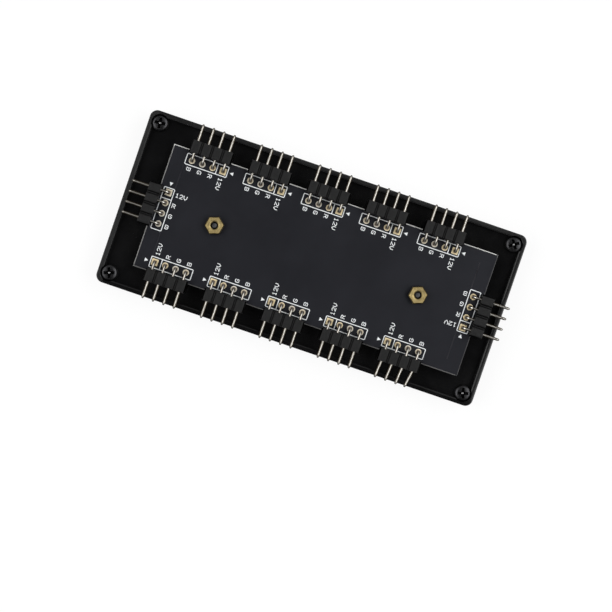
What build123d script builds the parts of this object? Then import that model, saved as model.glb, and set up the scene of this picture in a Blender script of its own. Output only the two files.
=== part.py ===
from build123d import *
from math import cos, radians, sin, tan
import os

# RGB lighting splitter hub for PC fans: a black board with twelve four-pin right-angle
# headers, held by two screws and nuts on a shallow two-piece case.
# Millimetres. Origin at the centre of the case's underside, +X along the case to the
# right, +Y across it, +Z up.

# Circuit board
board_length = 80.0
board_width = 30.0
board_thickness = 1.6
board_score_width = 0.3
board_score_depth = 0.5

# Case round the board
board_margin_x = 6.6
board_margin_y = 6.2
board_offset_x = 1.0
board_offset_y = -0.1
case_corner_radius = 1.8
case_wall = 1.1
rim_height = 1.5
rim_crown_width = 0.3
rim_crown_drop = 0.1
floor_thickness = 1.6
cover_thickness = 1.5
cover_edge_chamfer = 0.4
cover_fit = 0.1
cover_skin = 0.4
post_sides = 8
boss_width = 5.0

# Screws and nuts
thread_diameter = 2.0
thread_clearance = 0.03
shank_hole_clearance = 0.1
screw_head_diameter = 3.9
screw_head_height = 1.3
screw_recess_span = 2.3
screw_recess_width = 0.55
screw_recess_depth = 0.75
screw_tip_gap = 0.1
head_pocket_clearance = 0.1
head_pocket_wall = 0.65
head_room = 0.1
corner_screw_turn = 25.0
nut_sides = 6
nut_across_flats = 4.0
nut_thickness = 1.6
nut_chamfer_angle = 30.0
nut_turn = -11.1
nut_to_screw_end = 0.25
fixing_spacing = 50.0

# Pin headers
pins_per_header = 4
pin_pitch = 2.54
pin_size = 0.64
pin_bend_radius = 0.4
pin_bend_flats = 3
pin_tail = 1.4
pin_tail_gap = 0.6
pin_exposed = 4.1
pin_tip_length = 0.45
pin_tip_angle = 24.0
pin_grip_clearance = 0.01
pin_hole_clearance = 0.05
pad_inset = 2.45
pad_to_housing = 1.75
housing_height = 2.54
housing_depth = 2.95
housing_notch = 0.45

# Header rows, measured from the board's left and right edges to the first and last header
headers_per_row = 5
top_row_left_margin = 9.0
top_row_right_margin = 13.8
bottom_row_left_margin = 8.4
bottom_row_right_margin = 14.3

# Sideways bend, in degrees, of the pins knocked askew in the last bottom header
knocked_bend = -3.8
knocked_last_bend = -8.8

# Case outline
case_length = board_length + 2 * board_margin_x
case_width = board_width + 2 * board_margin_y
inner_length = case_length - 2 * case_wall
inner_width = case_width - 2 * case_wall
inner_corner_radius = case_corner_radius - case_wall

# Heights, from the underside up
hollow_height = screw_head_height + head_room
floor_bottom = cover_thickness + hollow_height
floor_top = floor_bottom + floor_thickness
rim_top = floor_top + rim_height
board_bottom = floor_top + pin_tail + pin_tail_gap
board_top = board_bottom + board_thickness
nut_top = board_top + nut_thickness
pin_axis_height = housing_height / 2
housing_face = pad_to_housing + housing_depth

# Holes
shank_hole_radius = thread_diameter / 2 + shank_hole_clearance
thread_hole_radius = thread_diameter / 2 + thread_clearance
pin_hole_side = pin_size + 2 * pin_hole_clearance
head_pocket_radius = screw_head_diameter / 2 + head_pocket_clearance

# Places
corner_screw_inset = head_pocket_wall + head_pocket_radius
corner_x = case_length / 2 - corner_screw_inset
corner_y = case_width / 2 - corner_screw_inset
corner_places = [(-corner_x, -corner_y), (corner_x, -corner_y), (-corner_x, corner_y), (corner_x, corner_y)]
fixing_places = [(board_offset_x + side * fixing_spacing / 2, board_offset_y) for side in (-1, 1)]
pin_places = [(index - (pins_per_header - 1) / 2) * pin_pitch for index in range(pins_per_header)]


def rod(radius, bottom, top, place):
    """Upright round bar between two heights."""
    bar = Cylinder(radius, top - bottom, align=(Align.CENTER, Align.CENTER, Align.MIN))
    return Pos(place[0], place[1], bottom) * bar


def slab(outline, bottom, top):
    """Flat outline raised between two heights."""
    return Pos(0, 0, bottom) * extrude(outline, top - bottom)


def upright_polygon(flat_radius, sides, bottom, top):
    """Upright regular bar, one flat facing +X."""
    outline = RegularPolygon(flat_radius, sides, major_radius=False, rotation=180 / sides)
    return slab(outline, bottom, top)


def bevel_ends(solid, inset, drop):
    """Solid with sloped edges round its top and bottom faces."""
    for order in (0, -1):
        end = solid.faces().sort_by(Axis.Z)[order]
        solid = chamfer(end.edges(), inset, drop, reference=end)
    return solid


def case_tray():
    """Moulded tray: rim, floor, eight-sided board bosses and screw pockets above, hollow below."""
    inside = RectangleRounded(inner_length, inner_width, inner_corner_radius)
    tray = slab(RectangleRounded(case_length, case_width, case_corner_radius), cover_thickness, rim_top)
    tray -= slab(inside, cover_thickness, floor_bottom)
    tray -= slab(inside, floor_top, rim_top)
    rim = tray.faces().sort_by(Axis.Z)[-1]
    tray = chamfer(rim.edges(), rim_crown_width, rim_crown_drop, reference=rim)
    for place in corner_places:
        tray -= rod(head_pocket_radius, floor_top, rim_top, place)
        tray -= rod(shank_hole_radius, floor_bottom, floor_top, place)
    boss = upright_polygon(boss_width / 2, post_sides, floor_top, board_bottom)
    for place in fixing_places:
        tray += Pos(*place) * boss
        tray -= rod(shank_hole_radius, floor_bottom, board_bottom, place)
    return tray


def bottom_cover():
    """Closing plate with an eight-sided post under each corner screw, cored for its thread."""
    plate = slab(RectangleRounded(case_length, case_width, case_corner_radius), 0, cover_thickness)
    plate = chamfer(plate.edges().group_by(Axis.Z)[0], cover_edge_chamfer)
    post_radius = corner_screw_inset - case_wall - cover_fit
    post = upright_polygon(post_radius, post_sides, cover_thickness, floor_bottom)
    core = upright_polygon(thread_hole_radius, post_sides, cover_skin, floor_bottom)
    for place in corner_places:
        plate += Pos(*place) * post
        plate -= Pos(*place) * core
    return plate


def pan_head_screw(length):
    """Cross-recess screw pointing down, the underside of its head at zero."""
    head = rod(screw_head_diameter / 2, 0, screw_head_height, (0, 0))
    slot = Rectangle(screw_recess_span, screw_recess_width)
    cross = slot + Rot(0, 0, 90) * slot
    recess = slab(cross, screw_head_height - screw_recess_depth, screw_head_height)
    return head - recess + rod(thread_diameter / 2, -length, 0, (0, 0))


def corner_screws():
    """Four screws that hold the tray down on the cover's posts."""
    screw = pan_head_screw(floor_top - cover_skin - screw_tip_gap)
    turned = [Rot(0, 0, index * corner_screw_turn) * screw for index in range(len(corner_places))]
    return [Pos(place[0], place[1], floor_top) * each for place, each in zip(corner_places, turned)]


def board_screws():
    """Two screws from below, through the tray's bosses and the board."""
    screw = Rot(180, 0, 0) * pan_head_screw(nut_top - nut_to_screw_end - floor_bottom)
    return [Pos(place[0], place[1], floor_bottom) * screw for place in fixing_places]


def board_nuts():
    """Two hex nuts with their corners bevelled, on top of the board."""
    flat_radius = nut_across_flats / 2
    corner_radius = flat_radius / cos(radians(180 / nut_sides))
    inset = corner_radius - flat_radius
    drop = inset * tan(radians(nut_chamfer_angle))
    corners = Rot(0, 0, 180 / nut_sides) * upright_polygon(corner_radius, nut_sides, 0, nut_thickness)
    corners = bevel_ends(corners, inset, drop)
    nut = upright_polygon(flat_radius, nut_sides, 0, nut_thickness) & corners
    nut -= rod(thread_hole_radius, 0, nut_thickness, (0, 0))
    return [Pos(place[0], place[1], board_top) * Rot(0, 0, nut_turn) * nut for place in fixing_places]


def header_places():
    """Name, position and outward angle of every header, taken from the board's edges."""
    left_edge = board_offset_x - board_length / 2
    right_edge = board_offset_x + board_length / 2
    row_y = board_width / 2 - pad_inset
    rows = [("top", top_row_left_margin, top_row_right_margin, board_offset_y + row_y, 90),
            ("bottom", bottom_row_left_margin, bottom_row_right_margin, board_offset_y - row_y, -90)]
    places = []
    for name, left_margin, right_margin, y, angle in rows:
        first = left_edge + left_margin
        spacing = (right_edge - right_margin - first) / (headers_per_row - 1)
        for index in range(headers_per_row):
            places.append((f"{name}_{index + 1}", first + index * spacing, y, angle))
    places.append(("left", left_edge + pad_inset, board_offset_y, 180))
    places.append(("right", right_edge - pad_inset, board_offset_y, 0))
    return places


def on_board(x, y, angle):
    """Location of a header's pad row on the board's top face."""
    return Location((x, y, board_top), (0, 0, angle))


def quarter_bend(centre, radius):
    """Points round a pin's bend, in equal flats from its leg to its arm."""
    angles = [radians(180 - 90 * step / pin_bend_flats) for step in range(pin_bend_flats + 1)]
    return [(centre[0] + radius * cos(angle), centre[1] + radius * sin(angle)) for angle in angles]


def header_pin(sideways_bend):
    """Square pin from its tail below the board, round its bend and out along +X to a pointed tip."""
    half = pin_size / 2
    under = pin_axis_height - half
    over = pin_axis_height + half
    tail_end = -board_thickness - pin_tail
    centre = (half + pin_bend_radius, under - pin_bend_radius)
    inside = quarter_bend(centre, pin_bend_radius)
    outside = quarter_bend(centre, pin_bend_radius + pin_size)
    arm_end = [(housing_face, over), (housing_face, under)]
    side = Polygon((half, tail_end), (-half, tail_end), *outside, *arm_end, *reversed(inside), align=None)
    held = extrude(Plane.XZ * side, half, both=True)
    run = pin_exposed - pin_tip_length
    along = (cos(radians(sideways_bend)), sin(radians(sideways_bend)))
    end = (housing_face + run * along[0], run * along[1])
    plan = Polygon((housing_face, -half), (end[0] + half * along[1], end[1] - half * along[0]),
                   (end[0] - half * along[1], end[1] + half * along[0]), (housing_face, half), align=None)
    narrowing = pin_tip_length * tan(radians(pin_tip_angle))
    tip = Wedge(pin_size, pin_tip_length, pin_size, narrowing, narrowing, pin_size - narrowing,
                pin_size - narrowing, align=(Align.CENTER, Align.MIN, Align.CENTER))
    tip = Pos(end[0], end[1], pin_axis_height) * Rot(0, 0, sideways_bend - 90) * tip
    return held + slab(plan, under, over) + tip


def header_pins(bends):
    """The pins of one header, in a row along its pads."""
    return [Pos(0, y, 0) * header_pin(bend) for y, bend in zip(pin_places, bends)]


def header_housing():
    """Insulator with a notched cell round each pin."""
    hole_side = pin_size + 2 * pin_grip_clearance
    block = Rectangle(pin_pitch, housing_height)
    cell = chamfer(block.vertices(), housing_notch) - Rectangle(hole_side, hole_side)
    cells = Sketch() + [Pos(y, 0) * cell for y in pin_places]
    return Pos(pad_to_housing, 0, pin_axis_height) * extrude(Plane.YZ * cells, housing_depth)


def circuit_board():
    """Board snapped out along scored edges, with a hole for every pin and both screws."""
    board = slab(Rectangle(board_length, board_width), board_bottom, board_top)
    board = Pos(board_offset_x, board_offset_y) * bevel_ends(board, board_score_width, board_score_depth)
    hole = slab(Rectangle(pin_hole_side, pin_hole_side), -board_thickness, 0)
    holes = [rod(shank_hole_radius, board_bottom, board_top, place) for place in fixing_places]
    for name, x, y, angle in header_places():
        holes += [on_board(x, y, angle) * Pos(0, pin_y, 0) * hole for pin_y in pin_places]
    return board - holes


def write(node, solids):
    """Save one node's solids."""
    export_step(Compound(children=solids), f"parts/{node}.step")


os.makedirs("parts", exist_ok=True)
write("case_tray", [case_tray()])
write("bottom_cover", [bottom_cover()])
write("corner_screws", corner_screws())
write("board_screws", board_screws())
write("board_nuts", board_nuts())
write("circuit_board", [circuit_board()])
straight_bends = [0.0] * pins_per_header
knocked_bends = [knocked_bend] * (pins_per_header - 1) + [knocked_last_bend]
housing = header_housing()
for header, x, y, angle in header_places():
    bends = knocked_bends if header == f"bottom_{headers_per_row}" else straight_bends
    write(f"header_housing_{header}", [on_board(x, y, angle) * housing])
    write(f"header_pins_{header}", [on_board(x, y, angle) * pin for pin in header_pins(bends)])
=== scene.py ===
"""Finishes and fine pieces for a twelve-header RGB lighting hub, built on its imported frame."""

import math

import bmesh
import bpy
from bpy.props import FloatProperty, FloatVectorProperty, IntProperty, PointerProperty
from mathutils import Euler, Matrix, Vector


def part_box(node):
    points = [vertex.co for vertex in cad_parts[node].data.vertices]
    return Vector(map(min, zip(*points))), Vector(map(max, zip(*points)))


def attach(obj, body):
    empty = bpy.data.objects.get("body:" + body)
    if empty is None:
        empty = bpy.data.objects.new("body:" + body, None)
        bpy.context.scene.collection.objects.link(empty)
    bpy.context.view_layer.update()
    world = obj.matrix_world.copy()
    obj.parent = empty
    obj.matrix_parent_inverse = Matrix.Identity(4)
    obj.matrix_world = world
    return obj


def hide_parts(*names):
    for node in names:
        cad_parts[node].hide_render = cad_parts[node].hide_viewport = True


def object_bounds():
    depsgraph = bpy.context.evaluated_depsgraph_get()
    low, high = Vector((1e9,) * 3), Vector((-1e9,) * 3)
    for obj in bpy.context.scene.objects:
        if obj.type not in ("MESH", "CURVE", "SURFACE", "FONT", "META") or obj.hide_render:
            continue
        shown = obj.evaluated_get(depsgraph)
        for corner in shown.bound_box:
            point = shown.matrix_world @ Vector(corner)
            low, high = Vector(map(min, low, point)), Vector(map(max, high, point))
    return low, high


bl_info = {
    "name": "Lighting Hub Dressing",
    "version": (1, 0, 0),
    "blender": (4, 5, 0),
    "location": "View3D > Sidebar > Lighting Hub",
    "description": "Finishes, printed marks, solder and fasteners for a twelve-header lighting hub",
    "category": "Object",
}

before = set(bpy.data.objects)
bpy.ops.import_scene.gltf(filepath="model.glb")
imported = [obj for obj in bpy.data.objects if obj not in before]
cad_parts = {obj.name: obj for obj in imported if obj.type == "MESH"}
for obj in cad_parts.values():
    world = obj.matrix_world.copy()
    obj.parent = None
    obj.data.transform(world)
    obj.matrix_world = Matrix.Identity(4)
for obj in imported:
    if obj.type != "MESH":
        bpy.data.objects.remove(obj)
CAD_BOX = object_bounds()

MM = 0.001
PER_MM = 1000.0
WHITE = (1.0, 1.0, 1.0, 1.0)
BODY = "root"
HOUSING_PREFIX = "header_housing_"
PINS_PREFIX = "header_pins_"
HEADERS = sorted(node.removeprefix(HOUSING_PREFIX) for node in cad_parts
                 if node.startswith(HOUSING_PREFIX))
OUTWARD_ANGLES = {"right": 0.0, "top": 90.0, "left": 180.0, "bottom": -90.0}
PIN_LABELS = ("12V", "R", "G", "B")
KNOCKED_HEADER = "bottom_5"
# How much solder covers the pads of a row header and of the end headers, the first pin first
ROW_TIN = (0.0, 0.2, 0.9, 0.6)
END_TIN = {"left": (0.6, 0.6, 0.9, 0.9), "right": (0.0, 0.0, 0.1, 0.0)}
BOARD_LOW, BOARD_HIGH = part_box("circuit_board")
TRAY_LOW, TRAY_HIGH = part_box("case_tray")
# Depths under the board's top, in millimetres, between which the mask gives way to bare laminate
MASK_LAP = (0.06, 0.18)
# Distances from a board edge, in millimetres, between which the laminate takes that edge's painted light:
# shade at the right and front, a highlight at the back
EDGE_BAND = (0.6, 0.4)
# Depths in a housing's notches, in millimetres, between which painted shade turns them black
NOTCH_DEPTHS = (0.10, 0.24)
# Depths under the tray's rim, in millimetres, between which its rubbing ends
RUB_DEPTHS = (0.4, 0.15)
# Reach to the side at which a long light starts and is full, and at which it ends and is still full
LAMP_START = (0.31, 0.43)
LAMP_END = (0.86, 0.74)
# Reach towards the picture's upper or lower edge at which the long lights end and are still full
LAMP_TAPER = (0.55, 0.3)
# Heights between which the fill grows from the horizon up, and between which it fades overhead
FILL_RISE = (0.0, 0.5)
FILL_FADE = (0.80, 0.96)
# Reach up the picture, counted from its middle, between which the fill grows to its full strength
FILL_FRONT = (-0.55, 0.15)
# Gap welded between a solid's faces, and the angles up to which facets merge and edges stay unrounded
WELD_GAP = 0.002 * MM
FACET_ANGLE = math.radians(1)
EDGE_ANGLE = math.radians(38)
# Cosine of half a corner's turn, below which a printed line's mitre grows no longer
MITRE_LIMIT = 0.5

# Strokes of each printed character, on a grid four wide and six high
STROKE_GRID = (4.0, 6.0)
STROKES = {
    "1": [[(1, 5), (2, 6), (2, 0)], [(1, 0), (3, 0)]],
    "2": [[(0, 5), (1, 6), (3, 6), (4, 5), (4, 4), (0, 0), (4, 0)]],
    "V": [[(0, 6), (0, 2.5), (2, 0), (4, 2.5), (4, 6)]],
    "R": [[(0, 0), (0, 6), (3, 6), (4, 5), (4, 4), (3, 3), (0, 3)], [(2, 3), (4, 0)]],
    "G": [[(3.8, 5.3), (3, 6), (1, 6), (0, 5), (0, 1), (1, 0), (3, 0), (4, 1), (4, 2.7), (2.2, 2.7)]],
    "B": [[(3, 3), (4, 4), (4, 5), (3, 6), (0, 6), (0, 0), (3, 0), (4, 1), (4, 2), (3, 3), (0, 3)]],
}


def length(name, description, millimetres):
    """Property for a size, written in millimetres and kept in metres."""
    return FloatProperty(name=name, description=description, default=millimetres * MM,
                         unit="LENGTH", precision=5)


def colour(name, description, value):
    """Property for a linear colour."""
    return FloatVectorProperty(name=name, description=description, default=value,
                               subtype="COLOR", min=0.0, max=1.0)


def amount(name, description, value):
    """Property for a plain number."""
    return FloatProperty(name=name, description=description, default=value)


class HubFinishSettings(bpy.types.PropertyGroup):
    """Colours, edge roundings and wear of the hub's own pieces."""

    case_black: colour("Case black", "Glossy moulded tray and cover", (0.0050, 0.0050, 0.0053))
    mask_black: colour("Mask black", "Solder mask on the board", (0.0055, 0.0055, 0.0085))
    laminate: colour("Laminate", "Bare glass laminate on the board's snapped edges", (0.46, 0.455, 0.44))
    header_black: colour("Header black", "Moulded header housings", (0.0050, 0.0050, 0.0052))
    pin_gold: colour("Pin gold", "Thin plating on the pins' upper and lower faces", (1.0, 0.97, 0.90))
    # Painted shade: the pins' side colour darkens their sides and rounded edges, and the next colour their
    # risers, bends and tips
    pin_side_shade: colour("Pin side", "Bare tarnished metal on the pins' cut sides", (0.075, 0.060, 0.040))
    pin_shade_and_wear: colour("Pin worn", "Darkened metal on the pins' tips and bends", (0.025, 0.018, 0.010))
    brass: colour("Brass", "Turned nuts", (0.49, 0.38, 0.17))
    screw_black: colour("Screw black", "Blackened corner screws", (0.042, 0.042, 0.044))
    # Painted glint: bright metal in the middle of each corner screw's recess
    glint_steel: colour("Rubbed steel", "Where a driver wears a corner screw bare", (0.5, 0.5, 0.5))
    steel: colour("Steel", "Plated board screws", (0.17, 0.175, 0.18))
    tin: colour("Tin", "Solder under the board", (0.62, 0.62, 0.60))
    pad_gold: colour("Pad plating", "Flat ring of each plated hole", (0.95, 0.80, 0.50))
    pad_tin: colour("Pad tin", "Thin solder on some of the rings", (0.80, 0.78, 0.70))
    flux_brown: colour("Flux brown", "Residue close to each pin", (0.20, 0.125, 0.06))
    print_white: colour("Print white", "Ink of the board's marks", (0.93, 0.96, 0.97))
    dust_grey: colour("Dust grey", "Specks of dust on the case", (0.10, 0.10, 0.10))
    case_rounding: length("Case rounding", "Rounding of the case's edges", 0.12)
    rim_below_boss: length("Rim below boss", "How far the tray's rim stays below its bosses", 0.5)
    rim_band: length("Rim band", "Width along each side of the tray that counts as its rim", 2.0)
    rim_fade: length("Rim fade", "Width over which a rim's rubbing fades out", 0.2)
    side_rub: amount("Side rub", "Roughness that handling adds to the rims, but not to the front one", 0.14)
    back_rub: amount("Back rub", "Roughness added to the back rim besides", 0.08)
    left_rub: amount("Left rub", "Roughness added to the left rim besides", 0.25)
    board_rounding: length("Board rounding", "Rounding of the board's edges", 0.03)
    housing_rounding: length("Housing rounding", "Rounding of the header housings' edges", 0.12)


class HubPrintSettings(bpy.types.PropertyGroup):
    """White marks round each header's pads."""

    line: length("Line", "Width of the printed lines", 0.2)
    ink: length("Ink", "Thickness of the ink", 0.018)
    box_inner: length("Box inner side", "From the pin row to the line towards the board's middle", 1.15)
    box_outer: length("Box outer side", "From the pin row to the line towards the housing", 1.37)
    box_first: length("Box first end", "From the row's middle to the end line beside the first pin", 4.87)
    box_last: length("Box last end", "From the row's middle to the end line beside the last pin", 5.27)
    divider: length("Divider", "From the row's middle to the line after the first pin", 2.28)
    corner: length("Corner", "Radius of the box's corners", 0.2)
    letter_width: length("Letter width", "Width between stroke centres", 0.70)
    letter_height: length("Letter height", "Height between stroke centres", 0.86)
    letter_step: length("Letter step", "Distance from one letter to the next", 1.0)
    label_gap: length("Label gap", "From the pin row to a label's first stroke", 1.74)
    label_step: length("Label step", "Distance from one label to the next", 2.58)
    label_shift: length("Label shift", "How far the labels stand along the row from their pins", 0.1)
    stroke: length("Stroke", "Width of the letters' strokes", 0.16)
    arrow_gap: length("Arrow gap", "From the box's first end to the arrow's tip", 0.52)
    arrow_length: length("Arrow length", "Height of the arrow that marks the first pin", 0.86)
    arrow_width: length("Arrow width", "Base of the arrow that marks the first pin", 0.84)


class HubSolderSettings(bpy.types.PropertyGroup):
    """Plated pads and soldered joints."""

    pad_diameter: length("Pad diameter", "Round pads", 1.5)
    square_pad: length("Square pad", "Side of the first pin's pad", 1.56)
    plating: length("Plating", "Height of the pads over the mask", 0.04)
    pad_edge: length("Pad edge", "Bevel round a pad's upper edge", 0.03)
    meniscus_radius: length("Meniscus radius", "Where the solder starts to climb a pin", 0.50)
    meniscus_height: length("Meniscus height", "How far the solder climbs a pin above the board", 0.26)
    joint_radius: length("Joint radius", "Foot of a soldered joint under the board", 0.78)
    joint_height: length("Joint height", "Height of a soldered joint under the board", 1.05)
    segments: IntProperty(name="Segments", description="Points round each pad", default=40, min=8)


class HubPinSettings(bpy.types.PropertyGroup):
    """Bent square pins of the headers."""

    bend_radius: length("Bend radius", "Inside of a pin's bend", 0.4)
    rounding: length("Rounding", "Rounding of a pin's edges", 0.23)
    tip_length: length("Tip length", "Length of the narrowed tip", 0.45)
    # Painted shade darkens the tip, where it also stands for the bare cut end
    tip_shade_and_wear: length("Tip wear", "How far the darkening reaches up the pin from its tip", 0.25)
    tip_share: amount("Tip share", "Width of the tip's end as a share of the pin's", 0.55)
    end_share: amount("End share", "Width of the tip's bevelled end as a share of the tip's", 0.7)
    tip_bevel: length("Tip bevel", "Length of the bevel at the tip's very end", 0.03)
    tail_bevel: length("Tail bevel", "Length of the bevel at the tail's end", 0.06)
    tail_share: amount("Tail share", "Width of the tail's end as a share of the pin's", 0.86)
    # Painted shade darkens the pin below the board's top and on its riser and bend
    dark_in_hole: length("Hole wear", "How far below the board's top a pin is dark all over", 0.2)
    bend_shade: amount("Bend wear", "How dark a pin is where its bend starts", 0.7)
    knocked_turns: FloatVectorProperty(
        name="Knocked turns", description="Sideways bends of one header's pins", size=4,
        default=[math.radians(angle) for angle in (-3.8, -3.8, -3.8, -8.8)])


class HubFastenerSettings(bpy.types.PropertyGroup):
    """Screws and nuts."""

    thread_pitch: length("Thread pitch", "Distance between threads", 0.4)
    thread_depth: length("Thread depth", "Depth of the threads", 0.2)
    head_edge: length("Head edge", "Bevel round a pan head's underside", 0.08)
    head_side: length("Head side", "Straight side of a pan head below its dome", 0.6)
    recess_span: length("Recess span", "Length of the cross recess", 2.55)
    recess_width: length("Recess width", "Width of the cross recess", 0.66)
    recess_depth: length("Recess depth", "Depth of the cross recess", 0.6)
    recess_wall: length("Recess wall", "Width of the recess's sloping walls", 0.16)
    recess_cone: length("Recess cone", "Depth of the cone at the recess's bottom", 0.12)
    tip_radius: length("Tip radius", "Flat end of a screw", 0.5)
    nut_chamfer: FloatProperty(name="Nut chamfer", description="Slope of the nuts' turned corners",
                               default=math.radians(30), subtype="ANGLE")
    nut_face: amount("Nut face", "Diameter of the nuts' flat faces as a share of their width", 1.06)
    nut_edge: length("Nut edge", "Width of the bevel round the nuts' faces", 0.2)
    nut_countersink: length("Nut countersink", "Width of the bevel round the nuts' bore", 0.08)
    nut_dish: length("Nut dish", "Width of the shallow dish round the countersink", 0.45)


class HubStageSettings(bpy.types.PropertyGroup):
    """Camera, floor and light."""

    camera_place: FloatVectorProperty(
        name="Camera place", description="Where the camera stands, over the hub",
        default=(-8.2 * MM, -4.3 * MM, 394.6 * MM), subtype="TRANSLATION")
    camera_turn: FloatVectorProperty(
        name="Camera turn", description="Tilt and roll of the camera",
        default=[math.radians(angle) for angle in (-1.43, -1.14, 18.88)], subtype="EULER")
    lens: amount("Lens", "Focal length on a 36 mm sensor, in millimetres", 97.5)
    floor_width: length("Floor width", "Side of the floor", 4000.0)
    floor_white: colour("Floor white", "Colour of the floor", (0.90, 0.90, 0.90))
    floor_gap: length("Floor gap", "From the hub's underside down to the floor", 0.01)
    floor_strength: amount("Floor strength", "Strength of the floor's own white", 1.04)
    floor_glow: amount("Floor glow", "Share of the floor's white that does not depend on light", 0.86)
    fill: amount("Fill", "Brightness of the studio round the hub", 0.46)
    overhead: amount("Overhead", "Share of the fill left straight above, where the camera hangs", 0.06)
    front: amount("Front", "Share of the fill left on the side of the picture's lower edge", 0.3)
    horizon: amount("Horizon", "Share of the fill left at the floor's level", 0.5)
    right_light: amount("Right light", "Brightness of the long soft light at the right", 3.3)
    left_light: amount("Left light", "Brightness of the long soft light at the left", 2.6)


def ribbon(mesh, points, width, bottom, top, closed=False):
    """Raised flat line through points in a plane, mitred at its corners and square at its ends."""
    count = len(points)
    rows = []
    for index, point in enumerate(points):
        before = points[index - 1] if closed or index > 0 else None
        after = points[(index + 1) % count] if closed or index < count - 1 else None
        arriving = (point - before).normalized() if before is not None else None
        leaving = (after - point).normalized() if after is not None else None
        centre = point
        if arriving is None:
            centre = point - leaving * width / 2
            arriving = leaving
        if leaving is None:
            centre = point + arriving * width / 2
            leaving = arriving
        across = Vector((-arriving.y - leaving.y, arriving.x + leaving.x)).normalized()
        reach = width / 2 / max(across.dot(Vector((-arriving.y, arriving.x))), MITRE_LIMIT)
        left = centre + across * reach
        right = centre - across * reach
        corners = [(left, bottom), (right, bottom), (right, top), (left, top)]
        rows.append([mesh.verts.new((place.x, place.y, height)) for place, height in corners])
    skin(mesh, rows, closed=closed, capped=not closed)


def skin(mesh, rows, closed=False, capped=False):
    """Quads through equal rings of vertices, from the first ring to the last."""
    pairs = list(zip(rows, rows[1:]))
    if closed:
        pairs.append((rows[-1], rows[0]))
    for near, far in pairs:
        for index in range(len(near)):
            following = (index + 1) % len(near)
            mesh.faces.new((near[index], near[following], far[following], far[index]))
    if capped:
        mesh.faces.new(list(reversed(rows[0])))
        mesh.faces.new(rows[-1])


def ring(mesh, segments, place):
    """Ring of vertices, each put where place says for its angle."""
    return [mesh.verts.new(place(2 * math.pi * index / segments)) for index in range(segments)]


def round_place(radius, height):
    """Points of a circle at a height."""
    return lambda angle: Vector((radius * math.cos(angle), radius * math.sin(angle), height))


def square_place(half, height):
    """Points of an upright square at a height."""
    def place(angle):
        reach = half / max(abs(math.cos(angle)), abs(math.sin(angle)))
        return Vector((reach * math.cos(angle), reach * math.sin(angle), height))
    return place


def beside(outline, place):
    """An outline moved along its pin row."""
    return lambda angle: outline(angle) + Vector((0.0, place, 0.0))


def rounded_box(low, high, radius, steps):
    """Outline of a box with round corners, each an arc of some steps, from its low corner on."""
    centres = [(low.x + radius, low.y + radius), (high.x - radius, low.y + radius),
               (high.x - radius, high.y - radius), (low.x + radius, high.y - radius)]
    outline = []
    for quarter, (x, y) in enumerate(centres):
        for step in range(steps + 1):
            angle = math.pi + (quarter + step / steps) * math.pi / 2
            outline.append(Vector((x + radius * math.cos(angle), y + radius * math.sin(angle))))
    return outline


def make_piece(name, mesh, material, matrix=None, smooth_angle=35.0):
    """Object from a finished mesh, riding on the hub and tied to one of its material slots."""
    bmesh.ops.recalc_face_normals(mesh, faces=mesh.faces)
    for face in mesh.faces:
        face.smooth = True
    data = bpy.data.meshes.new(name)
    mesh.to_mesh(data)
    mesh.free()
    data.set_sharp_from_angle(angle=math.radians(smooth_angle))
    data.materials.append(material)
    piece = bpy.data.objects.new(name, data)
    bpy.context.scene.collection.objects.link(piece)
    if matrix is not None:
        piece.matrix_world = matrix
    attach(piece, BODY)
    return piece


def header_matrix(header):
    """A header's own axes: origin on the board under the middle of its pin row, +X outward."""
    angle = math.radians(OUTWARD_ANGLES[header.split("_")[0]])
    outward = Vector((math.cos(angle), math.sin(angle), 0.0))
    low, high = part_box(HOUSING_PREFIX + header)
    middle = (low + high) / 2
    pins_low, pins_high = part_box(PINS_PREFIX + header)
    pin_half = pins_high.z - middle.z
    row = min(pins_low.dot(outward), pins_high.dot(outward)) + pin_half
    origin = middle + outward * (row - middle.dot(outward))
    origin.z = BOARD_HIGH.z
    return Matrix.Translation(origin) @ Matrix.Rotation(angle, 4, "Z")


def in_row(index, step):
    """Place of a pin or its label along the row, counted from the row's middle."""
    return (index - (len(PIN_LABELS) - 1) / 2) * step


def pin_rows(header):
    """Places of a header's pins along its row, the first pin first, and half a pin's width."""
    low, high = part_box(HOUSING_PREFIX + header)
    pitch = max(high.x - low.x, high.y - low.y) / len(PIN_LABELS)
    places = [in_row(index, pitch) for index in range(len(PIN_LABELS))]
    return places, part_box(PINS_PREFIX + header)[1].z - (low.z + high.z) / 2


def feed(tree, socket, value):
    """Set a socket, or link it where the value is another node's output."""
    if isinstance(value, bpy.types.NodeSocket):
        tree.links.new(value, socket)
    else:
        socket.default_value = value


def feed_all(tree, node, inputs):
    """Fill several of a node's sockets."""
    for key, value in inputs.items():
        feed(tree, node.inputs[key], value)


def add(tree, kind, inputs=None, **settings):
    """New node with its settings and its sockets filled."""
    node = tree.nodes.new(kind)
    for key, value in settings.items():
        setattr(node, key, value)
    feed_all(tree, node, inputs or {})
    return node


def combined(tree, operation, values):
    """Values taken two by two through one kind of arithmetic."""
    result = values[0]
    for value in values[1:]:
        result = add(tree, "ShaderNodeMath", {0: result, 1: value}, operation=operation).outputs[0]
    return result


def total(tree, *values):
    """Values added up."""
    return combined(tree, "ADD", values)


def product(tree, *values):
    """Values multiplied together."""
    return combined(tree, "MULTIPLY", values)


def absolute(tree, value):
    """A value without its sign."""
    return add(tree, "ShaderNodeMath", {0: value}, operation="ABSOLUTE").outputs[0]


def spread(tree, value, low, high, new_low=0.0, new_high=1.0):
    """Value stretched from one range to another and held inside it."""
    inputs = {"Value": value, "From Min": low, "From Max": high, "To Min": new_low, "To Max": new_high}
    return add(tree, "ShaderNodeMapRange", inputs).outputs["Result"]


def lighter(value, factor=1.0):
    """Colour with alpha for a socket, brightened or darkened."""
    return [min(1.0, channel * factor) for channel in value] + [1.0]


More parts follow.
